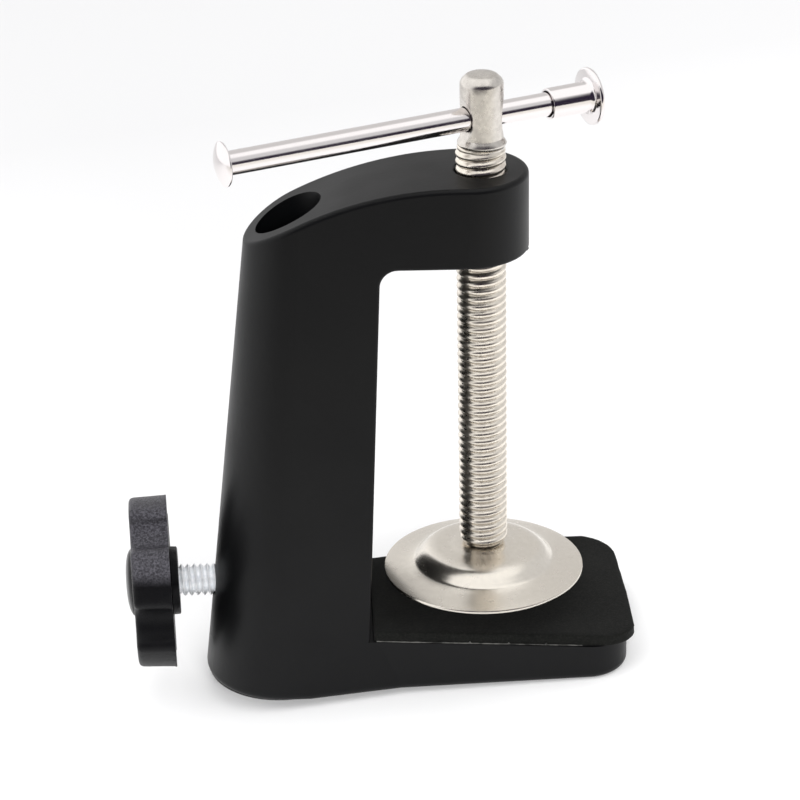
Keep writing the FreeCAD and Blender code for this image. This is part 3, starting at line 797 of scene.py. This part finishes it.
def star_loop():
    """Lobes and valleys round the knob's axis, as a closed loop with a lobe on the first axis."""
    half = math.pi / KNOB_LOBES
    centre = KNOB_RADIUS - LOBE_FILLET
    reach = VALLEY_RADIUS + LOBE_FILLET
    spread = math.acos((centre ** 2 + VALLEY_CENTRE ** 2 - reach ** 2)
                       / (2 * centre * VALLEY_CENTRE))
    lean = half - spread
    bulb = (centre * math.cos(lean), centre * math.sin(lean))
    hollow = (VALLEY_CENTRE * math.cos(half), VALLEY_CENTRE * math.sin(half))
    meet = math.degrees(math.atan2(hollow[1] - bulb[1], hollow[0] - bulb[0]))
    quarter = arc_points((0, 0), KNOB_RADIUS, 0, math.degrees(lean), 9)
    quarter += arc_points(bulb, LOBE_FILLET, math.degrees(lean), meet, 10)[1:]
    quarter += arc_points(hollow, VALLEY_RADIUS, meet + 180, math.degrees(half) + 180, 12)[1:]
    turned = []
    for lobe in range(KNOB_LOBES):
        for flip, part in ((1, quarter), (-1, quarter[-2:0:-1])):
            for u, v in part:
                angle = math.atan2(flip * v, u) + TURN * (lobe + (flip < 0)) / KNOB_LOBES
                turned.append((math.hypot(u, v), angle))
    return [(radius * math.cos(angle), radius * math.sin(angle)) for radius, angle in turned]


def knob_ring(loop, x):
    """A ring of the knob at x, from flat points round its axis, leant and yawed on the stud."""
    ring = []
    for u, v in loop:
        angle = math.atan2(v, u) + KNOB_PHASE
        radius = math.hypot(u, v)
        y, z = radius * math.cos(angle), radius * math.sin(angle)
        along = x - KNOB_INNER
        lean = z * math.sin(KNOB_WOBBLE) - y * math.sin(KNOB_YAW)
        ring.append((KNOB_INNER + along * math.cos(KNOB_WOBBLE) + lean, y,
                     STUD_Z + z * math.cos(KNOB_WOBBLE) - along * math.sin(KNOB_WOBBLE)))
    return ring


def make_knob():
    """Five-lobed moulding: domed boss, soft outer edge, drafted flanks, flash at the inner edge."""
    star = star_loop()
    turns = [math.atan2(v, u) for u, v in star]

    def circle(radius, ragged=0.0):
        """Points round the axis, one for each point of the star."""
        loop = []
        for turn in turns:
            sample = Vector((3 * math.cos(turn), 3 * math.sin(turn), 9))
            reach = radius + ragged * noise.noise(sample)
            loop.append((reach * math.cos(turn), reach * math.sin(turn)))
        return loop

    def between(first, second, share):
        """A loop part of the way from one loop to another."""
        return [(a + (c - a) * share, b + (d - b) * share)
                for (a, b), (c, d) in zip(first, second)]

    rings = []
    for radius in BOSS_STEPS:
        rise = BOSS_RISE * math.sqrt(max(0.0, 1.0 - (radius / BOSS_RADIUS) ** BOSS_POWER))
        rings.append(knob_ring(circle(radius), KNOB_OUTER - rise))
    face = offset_loop(star, -1.9)
    for share in (0.96, 0.6, 0.25, 0.0):
        rings.append(knob_ring(between(face, circle(6.9), share), KNOB_OUTER + 0.02))
    for inset, along in FLANK:
        rings.append(knob_ring(offset_loop(star, -inset), KNOB_OUTER + along))
    outer = offset_loop(star, 1.0)
    for along, share in FLASH:
        flash = []
        for (u, v), (ou, ov) in zip(star, outer):
            rough = noise.noise(Vector((u * 0.9, v * 0.9, 4.0)))
            rough += 0.6 * noise.noise(Vector((u * 2.7, v * 2.7, 8.0)))
            amount = -0.12 + 0.30 * share * max(0.0, rough)
            flash.append((u + (ou - u) * amount, v + (ov - v) * amount))
        rings.append(knob_ring(flash, KNOB_OUTER + along))
    back = offset_loop(star, -0.7)
    for share in (0.0, 0.35, 0.7, 0.97):
        rings.append(knob_ring(between(back, circle(7.0), share), KNOB_INNER - 0.06))
    for radius, along, ragged in HUB:
        rings.append(knob_ring(circle(radius, ragged), KNOB_INNER + along))
    item = loft("knob_star", rings)
    crease_by_angle(item, 42)
    return item


STUD_CREST, STUD_ROOT = 3.16, 2.45
STUD_LENGTH = stud_high[0] - stud_low[0]
NUB_SPOT, NUB_AXIS, NUB_LUMPS = (44.55, -2.6, 89.95), Vector((0.7, -0.3, -0.5)), 0.12


def stud_radius(height, angle):
    """V thread with narrow crests, run out at both ends."""
    phase = (height / STUD_PITCH - angle / TURN) % 1.0
    wave = 1.0 - abs(2.0 * phase - 1.0)
    value = STUD_ROOT + (STUD_CREST - STUD_ROOT) * min(1.0, max(0.0, (wave - 0.08) / 0.8))
    end = min(height, STUD_LENGTH - height)
    return min(value, STUD_ROOT - 0.2 + max(0.0, end) * 0.9)


def make_stud():
    """Rolled quarter-inch stud."""
    rows = int(STUD_LENGTH / STUD_PITCH * 16)
    stations = [STUD_LENGTH * row / rows for row in range(rows + 1)]
    item = threaded_rod("knob_stud_thread", stations, 56, stud_radius, (stud_low[0], 0, STUD_Z),
                        Vector((1, 0, 0)))
    crease_by_angle(item, 50)
    return item


def make_nub():
    """Lumpy leftover of the casting's gate, under the arm's tip."""
    profile = [(0.0, -0.3), (0.4, -0.25), (0.5, 0.05), (0.4, 0.25), (0.25, 0.36), (0.0, 0.4)]
    item = lathe("casting_nub", profile, 20, NUB_SPOT, NUB_AXIS)
    for vertex in item.data.vertices:
        vertex.co += Vector((1, 1, 1)) * NUB_LUMPS * MM * noise.noise(vertex.co / (0.5 * MM))
    return item


# ---------------------------------------------------------------- build and dress
coat = powder_coat()
paint(frame["nodes"]["clamp_body"], coat)
paint(frame["nodes"]["swivel_washer"], plain_steel())

nub = make_nub()
paint(nub, coat)
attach(nub, "casting")

for piece, dress in ((make_pad(), foam()), (make_film(), film_and_painted_highlight())):
    paint(piece, dress)
    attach(piece, "casting")
    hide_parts("desk_pad")

knob = make_knob()
paint(knob, moulded_plastic())
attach(knob, "knob")
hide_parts("knob")

stud = make_stud()
paint(stud, bright_zinc())
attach(stud, "stud_carrier")
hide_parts("knob_stud")

nickel = satin_nickel("screw_nickel", (0.84, 0.78, 0.69), 0.24, 0.34, tumble=0.6)
# painted shade: the head gets a darker copy of the screw's nickel, to dim its reflections
head_nickel_painted_shade = satin_nickel("head_nickel_painted_shade", (0.655, 0.62, 0.575), 0.24, 0.34, tumble=0.9,
                           dulled=0.8)
for piece in make_screw():
    paint(piece, head_nickel_painted_shade if piece.name == "clamp_screw_head" else nickel)
    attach(piece, "screw")
    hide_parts("clamp_screw")

disc = make_disc()
paint(disc, satin_nickel("disc_nickel", (0.745, 0.70, 0.63), 0.24, 0.28, tumble=0.1,
                         dulled=0.96, pits=0.0))
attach(disc, "disc")
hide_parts("pressure_disc")

chrome = polished_nickel()
for piece, node in ((make_bar(), "tommy_bar"), (make_bar_cap(), "tommy_bar_cap")):
    paint(piece, chrome)
    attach(piece, "handle")
    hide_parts(node)


# ---------------------------------------------------------------- floor, light and camera
# the foot's circle and the rounding of its lower edge, and the plate's lower tip
FOOT_CENTRE, FOOT_RADIUS, FOOT_EDGE = -4.4, 14.7, 0.6
PLATE_TIP = Vector((61.7, 0, 6.25))
TABLE_LEFT, TABLE_WIDE, TABLE_FRONT, TABLE_DEEP = -1800, 3600, -480, 2500
TABLE_CELLS = 8


def make_floor():
    """Table that touches the foot's right edge and the plate's tip, where the clamp leans."""
    lean = math.atan2(PLATE_TIP.z, PLATE_TIP.x - FOOT_CENTRE - FOOT_RADIUS)
    touch = Vector((FOOT_CENTRE + FOOT_RADIUS - FOOT_EDGE * (1 - math.sin(lean)), 0,
                    FOOT_EDGE * (1 - math.cos(lean))))
    points = []
    for row in range(TABLE_CELLS + 1):
        for column in range(TABLE_CELLS + 1):
            points.append((TABLE_LEFT + TABLE_WIDE * column / TABLE_CELLS,
                           TABLE_FRONT + TABLE_DEEP * row / TABLE_CELLS, 0.0))
    faces = grid_faces(TABLE_CELLS + 1, TABLE_CELLS + 1, wrap=False)
    item = mesh_piece("floor", points, faces)
    item.matrix_world = Matrix.Translation(touch * MM) @ Matrix.Rotation(-lean, 4, "Y")
    paint(item, pale_floor())


FILL_SPOT, FILL_AIM = Vector((0.12, -1.5, 0.70)), Vector((0.01, 0, 0))
FILL_SIZE, FILL_POWER = (0.8, 0.4), 27.0


def make_fill():
    """Soft light in front, left out of reflections; its place and size are in metres."""
    data = bpy.data.lights.new("fill", "AREA")
    data.shape = "RECTANGLE"
    data.size, data.size_y = FILL_SIZE
    data.energy = FILL_POWER
    item = bpy.data.objects.new("fill", data)
    item.location = FILL_SPOT
    item.rotation_euler = (FILL_AIM - FILL_SPOT).to_track_quat("-Z", "Y").to_euler()
    item.visible_glossy = False
    bpy.context.scene.collection.objects.link(item)


# the tent's tones; each zone is its direction, the cosines where it begins and is full, its tone
TENT_TOP = (1.32, 1.32, 1.32)
TENT_BACK = (0.78, 0.77, 0.765)
DARK_FRONT = (0.03, 0.022, 0.042)
TENT_LEFT, TENT_RIGHT = (1.35, 1.35, 1.36), (0.8, 0.8, 0.81)
TENT_ZONES = (((-1, 0, 0), 0.05, 0.5, TENT_LEFT),
              ((1, 0, 0), 0.3, 0.7, TENT_RIGHT),
              ((0, -1, 0), 0.5, 0.75, DARK_FRONT),
              ((0.69, -0.72, 0), 0.86, 0.95, DARK_FRONT),
              ((0, -0.124, 1), 0.73, 0.84, TENT_TOP))
SEEN = (0.97, 0.97, 0.975)


def make_world():
    """White tent with a bright top and a dark front; where the floor ends the camera sees white."""
    world = bpy.data.worlds.new("studio")
    bpy.context.scene.world = world
    world.use_nodes = True
    tree = world.node_tree
    coordinates = tree.nodes.new("ShaderNodeTexCoord")
    color = TENT_BACK
    for direction, start, finish, beyond in TENT_ZONES:
        along = tree.nodes.new("ShaderNodeVectorMath")
        along.operation = "DOT_PRODUCT"
        along.inputs[1].default_value = direction
        tree.links.new(coordinates.outputs["Generated"], along.inputs[0])
        step = tree.nodes.new("ShaderNodeMapRange")
        step.interpolation_type = "SMOOTHSTEP"
        step.inputs["From Min"].default_value = start
        step.inputs["From Max"].default_value = finish
        tree.links.new(along.outputs["Value"], step.inputs["Value"])
        color = mix_colors(tree, step.outputs["Result"], color, beyond)
    path = tree.nodes.new("ShaderNodeLightPath")
    color = mix_colors(tree, path.outputs["Is Camera Ray"], color, SEEN)
    tree.links.new(color, tree.nodes["Background"].inputs["Color"])


# aim in millimetres, distance in metres, angles in degrees
CAMERA_AIM, CAMERA_DISTANCE = Vector((20.8, 14.5, 50.8)), 0.5955
CAMERA_AZIMUTH, CAMERA_ELEVATION, CAMERA_ROLL = -2.1, 26.07, -1.182
LENS, SENSOR = 135.0, 36.0


def make_camera():
    """Long lens on the clamp's front, a little left of square and looking down."""
    aim = CAMERA_AIM * MM
    turn = math.radians(CAMERA_AZIMUTH)
    tilt = math.radians(CAMERA_ELEVATION)
    outward = Vector((math.sin(turn) * math.cos(tilt), -math.cos(turn) * math.cos(tilt),
                      math.sin(tilt)))
    data = bpy.data.cameras.new("camera")
    data.lens = LENS
    data.sensor_width = SENSOR
    data.clip_start = 0.01
    item = bpy.data.objects.new("camera", data)
    bpy.context.scene.collection.objects.link(item)
    facing = (-outward).to_track_quat("-Z", "Y").to_matrix().to_4x4()
    item.matrix_world = (Matrix.Translation(aim + outward * CAMERA_DISTANCE) @ facing
                         @ Matrix.Rotation(math.radians(CAMERA_ROLL), 4, "Z"))
    bpy.context.scene.camera = item


make_floor()
make_world()
make_fill()
make_camera()
bpy.context.scene.view_settings.view_transform = "Standard"
